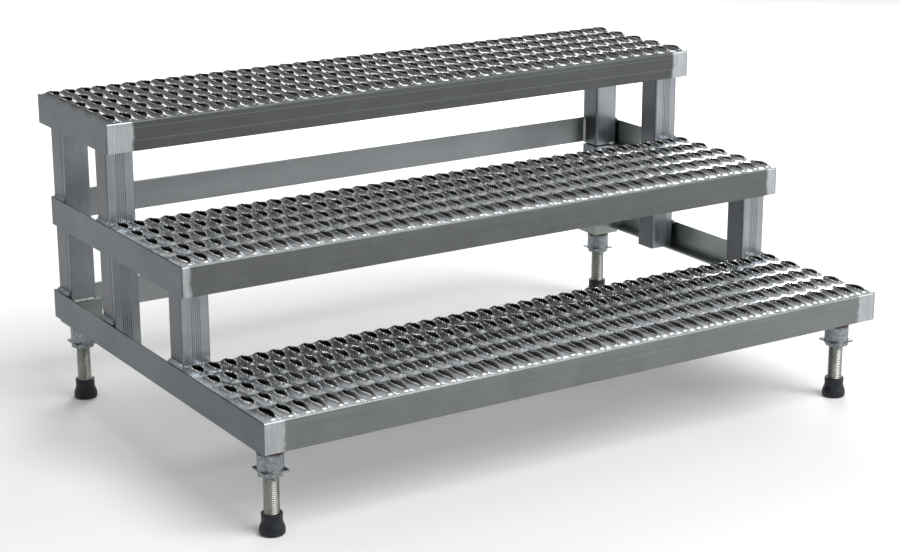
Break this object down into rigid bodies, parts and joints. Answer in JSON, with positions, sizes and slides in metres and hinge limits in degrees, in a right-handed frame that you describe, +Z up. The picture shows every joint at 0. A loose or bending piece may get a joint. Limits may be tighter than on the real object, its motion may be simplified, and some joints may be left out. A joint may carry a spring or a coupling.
{
  "type": "mounting block",
  "caption": "Stepped aluminium mounting block with raised diamond-grip treads, tube posts and adjustable screw legs with rubber feet.",
  "frame": {"origin": "on the ground under the middle of the stand", "axes": "+X along the treads to the right, +Y from the lowest tread to the back, +Z up"},
  "size_m": [1.2192, 0.836, 0.5577],
  "materials": {
    "rail_aluminium": "mill finish",
    "tread_aluminium": "mill finish",
    "post_aluminium": "mill finish",
    "bar_aluminium": "mill finish",
    "socket_aluminium": "mill finish",
    "weld_aluminium": "rough weld",
    "galvanised_steel": "galvanised",
    "dark_steel": "dull",
    "rod_steel": "plated thread",
    "foot_rubber": "moulded"
  },
  "bodies": {
    "frame": {"base_rail_left": "rail_aluminium", "base_rail_right": "rail_aluminium", "base_tread": "tread_aluminium", "middle_rail_left": "rail_aluminium", "middle_rail_right": "rail_aluminium", "middle_tread": "tread_aluminium", "top_rail_left": "rail_aluminium", "top_rail_right": "rail_aluminium", "top_tread": "tread_aluminium", "front_post_left": "post_aluminium", "middle_post_lower_left": "post_aluminium", "middle_post_upper_left": "post_aluminium", "rear_post_lower_left": "post_aluminium", "rear_post_upper_left": "post_aluminium", "front_post_right": "post_aluminium", "middle_post_lower_right": "post_aluminium", "middle_post_upper_right": "post_aluminium", "rear_post_lower_right": "post_aluminium", "rear_post_upper_right": "post_aluminium", "rear_brace": "bar_aluminium", "base_rear_bar": "bar_aluminium", "weld_beads": "weld_aluminium", "leg_socket_front_left": "socket_aluminium", "leg_sleeve_front_left": "galvanised_steel", "leg_plate_front_left": "dark_steel", "leg_nut_front_left": "dark_steel", "leg_socket_front_right": "socket_aluminium", "leg_sleeve_front_right": "galvanised_steel", "leg_plate_front_right": "dark_steel", "leg_nut_front_right": "dark_steel", "leg_socket_rear_left": "socket_aluminium", "leg_sleeve_rear_left": "galvanised_steel", "leg_plate_rear_left": "dark_steel", "leg_nut_rear_left": "dark_steel", "leg_socket_rear_right": "socket_aluminium", "leg_sleeve_rear_right": "galvanised_steel", "leg_plate_rear_right": "dark_steel", "leg_nut_rear_right": "dark_steel"},
    "foot_front_left": {"rubber_foot_front_left": "foot_rubber", "foot_washer_front_left": "galvanised_steel"},
    "rod_front_left": {"threaded_rod_front_left": "rod_steel"},
    "foot_front_right": {"rubber_foot_front_right": "foot_rubber", "foot_washer_front_right": "galvanised_steel"},
    "rod_front_right": {"threaded_rod_front_right": "rod_steel"},
    "foot_rear_left": {"rubber_foot_rear_left": "foot_rubber", "foot_washer_rear_left": "galvanised_steel"},
    "rod_rear_left": {"threaded_rod_rear_left": "rod_steel"},
    "foot_rear_right": {"rubber_foot_rear_right": "foot_rubber", "foot_washer_rear_right": "galvanised_steel"},
    "rod_rear_right": {"threaded_rod_rear_right": "rod_steel"}
  },
  "joints": [
    {"name": "leg_height_front_left", "type": "slide", "parent": "frame", "child": "foot_front_left", "axis": [0, 0, 1], "range_m": [-0.025, 0.038]},
    {"name": "leg_turn_front_left", "type": "hinge", "parent": "foot_front_left", "child": "rod_front_left", "pos_m": [-0.5716, -0.366, 0.0735], "axis": [0, 0, 1], "range_deg": [-2835, 4309]},
    {"name": "leg_height_front_right", "type": "slide", "parent": "frame", "child": "foot_front_right", "axis": [0, 0, 1], "range_m": [-0.025, 0.038]},
    {"name": "leg_turn_front_right", "type": "hinge", "parent": "foot_front_right", "child": "rod_front_right", "pos_m": [0.5716, -0.366, 0.0735], "axis": [0, 0, 1], "range_deg": [-2835, 4309]},
    {"name": "leg_height_rear_left", "type": "slide", "parent": "frame", "child": "foot_rear_left", "axis": [0, 0, 1], "range_m": [-0.025, 0.038]},
    {"name": "leg_turn_rear_left", "type": "hinge", "parent": "foot_rear_left", "child": "rod_rear_left", "pos_m": [-0.5716, 0.3575, 0.0735], "axis": [0, 0, 1], "range_deg": [-2835, 4309]},
    {"name": "leg_height_rear_right", "type": "slide", "parent": "frame", "child": "foot_rear_right", "axis": [0, 0, 1], "range_m": [-0.025, 0.038]},
    {"name": "leg_turn_rear_right", "type": "hinge", "parent": "foot_rear_right", "child": "rod_rear_right", "pos_m": [0.5716, 0.3575, 0.0735], "axis": [0, 0, 1], "range_deg": [-2835, 4309]}
  ],
  "couplings": [
    {"joint": "leg_turn_front_left", "follows": "leg_height_front_left", "rad_per_m": 1979},
    {"joint": "leg_turn_front_right", "follows": "leg_height_front_right", "rad_per_m": 1979},
    {"joint": "leg_turn_rear_left", "follows": "leg_height_rear_left", "rad_per_m": 1979},
    {"joint": "leg_turn_rear_right", "follows": "leg_height_rear_right", "rad_per_m": 1979}
  ]
}
